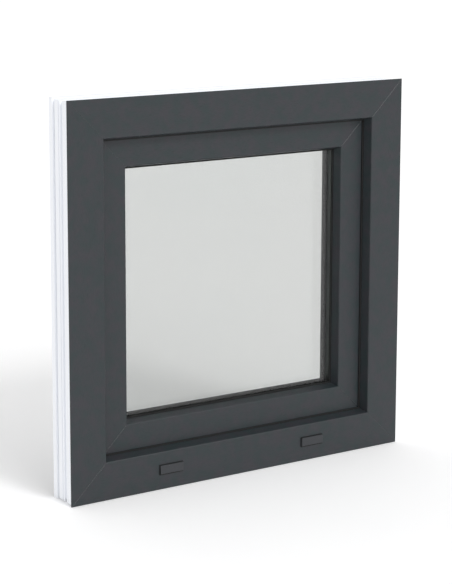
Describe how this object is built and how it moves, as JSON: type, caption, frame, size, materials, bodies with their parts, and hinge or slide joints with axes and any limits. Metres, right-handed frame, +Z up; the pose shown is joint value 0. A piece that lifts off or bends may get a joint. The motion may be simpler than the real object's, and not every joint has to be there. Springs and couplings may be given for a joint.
{
  "type": "window sash with crank",
  "caption": "Small square tilt-and-turn window: anthracite hollow plastic frame and glazed sash with lever handle, locking gear and hinges.",
  "frame": {"origin": "middle of the rear foot under the sill, where the window stands on its base", "axes": "+Z up; +Y toward the room; +X along the sill to the hinge side, so the outside face looks toward -Y"},
  "size_m": [0.6, 0.1245, 0.6],
  "materials": {
    "frame_profile": "anthracite grained foil on the two faces, white core on the outer edge and in the rebate",
    "sash_profile": "anthracite grained foil on the two faces, white core in the rebate",
    "bead": "anthracite grained foil",
    "steel": "galvanised and turned steel",
    "hardware": "silver zinc plating",
    "gasket": "matt black",
    "sealant": "matt black",
    "spacer": "mill grey",
    "glass": "clear float glass",
    "block": "blue glazing packer",
    "drain_cap": "moulded anthracite",
    "hinge_cover": "moulded anthracite",
    "handle": "anthracite powder coat"
  },
  "bodies": {
    "frame": {"frame_sill": "frame_profile", "frame_head": "frame_profile", "frame_jamb_hinge_side": "frame_profile", "frame_jamb_handle_side": "frame_profile", "frame_steel_sill": "steel", "frame_steel_head": "steel", "frame_steel_hinge": "steel", "frame_steel_handle": "steel", "drain_cap_left": "drain_cap", "drain_cap_right": "drain_cap", "frame_gasket": "gasket", "keep_lower": "hardware", "keep_upper": "hardware", "keep_top": "hardware", "top_bearing": "hardware", "top_hinge_pin": "steel", "bottom_bearing": "hardware", "top_hinge_cover": "hinge_cover", "bottom_hinge_cover": "hinge_cover"},
    "turn_pivot": {"bottom_pivot": "steel"},
    "sash": {"sash_bottom_rail": "sash_profile", "sash_stile_handle_side": "sash_profile", "sash_top_rail": "sash_profile", "sash_stile_hinge_side": "sash_profile", "sash_steel_bottom_rail": "steel", "sash_steel_stile_handle_side": "steel", "sash_steel_top_rail": "steel", "sash_steel_stile_hinge_side": "steel", "glazing_bead_bottom_rail": "bead", "glazing_bead_stile_handle_side": "bead", "glazing_bead_top_rail": "bead", "glazing_bead_stile_hinge_side": "bead", "glass_outside_pane": "glass", "glass_room_pane": "glass", "edge_seal": "sealant", "spacer_bar": "spacer", "setting_block_handle_side": "block", "setting_block_hinge_side": "block", "glazing_gasket": "gasket", "bead_gasket": "gasket", "sash_gasket": "gasket", "gearbox_case": "hardware", "side_faceplate": "hardware", "top_faceplate": "hardware", "corner_drive": "hardware", "rosette": "hardware", "rosette_cap": "handle", "handle_screw_lower": "hardware", "handle_screw_upper": "hardware", "stay_guide": "hardware", "corner_band": "hardware"},
    "handle": {"handle_lever": "handle", "spindle": "steel", "pinion": "steel"},
    "lock_rail": {"lock_rail": "hardware", "cam_lower": "hardware", "cam_upper": "hardware"},
    "top_rail": {"top_rail": "hardware", "cam_top": "hardware"},
    "stay_arm": {"stay_arm": "hardware"}
  },
  "joints": [
    {"name": "turn", "type": "hinge", "parent": "frame", "child": "turn_pivot", "pos_m": [0.278, 0.0185, 0], "axis": [0, 0, -1], "range_deg": [0, 90]},
    {"name": "tilt", "type": "hinge", "parent": "turn_pivot", "child": "sash", "pos_m": [0.26, 0.0185, 0.0244], "axis": [-1, 0, 0], "range_deg": [0, 10]},
    {"name": "stay_arm_swing", "type": "hinge", "parent": "turn_pivot", "child": "stay_arm", "pos_m": [0.278, 0.0185, 0.58], "axis": [0, 0, -1], "range_deg": [0, 24.3]},
    {"name": "handle_turn", "type": "hinge", "parent": "sash", "child": "handle", "pos_m": [-0.2324, 0.03, 0.3], "axis": [0, -1, 0], "range_deg": [0, 180]},
    {"name": "lock_slide", "type": "slide", "parent": "sash", "child": "lock_rail", "axis": [0, 0, -1], "range_m": [0, 0.0301]},
    {"name": "top_slide", "type": "slide", "parent": "sash", "child": "top_rail", "axis": [-1, 0, 0], "range_m": [0, 0.0301]}
  ],
  "couplings": [
    {"joint": "stay_arm_swing", "follows": "tilt", "ratio": 2.422},
    {"joint": "lock_slide", "follows": "handle_turn", "m_per_rad": 0.0095493},
    {"joint": "top_slide", "follows": "handle_turn", "m_per_rad": 0.0095493}
  ]
}
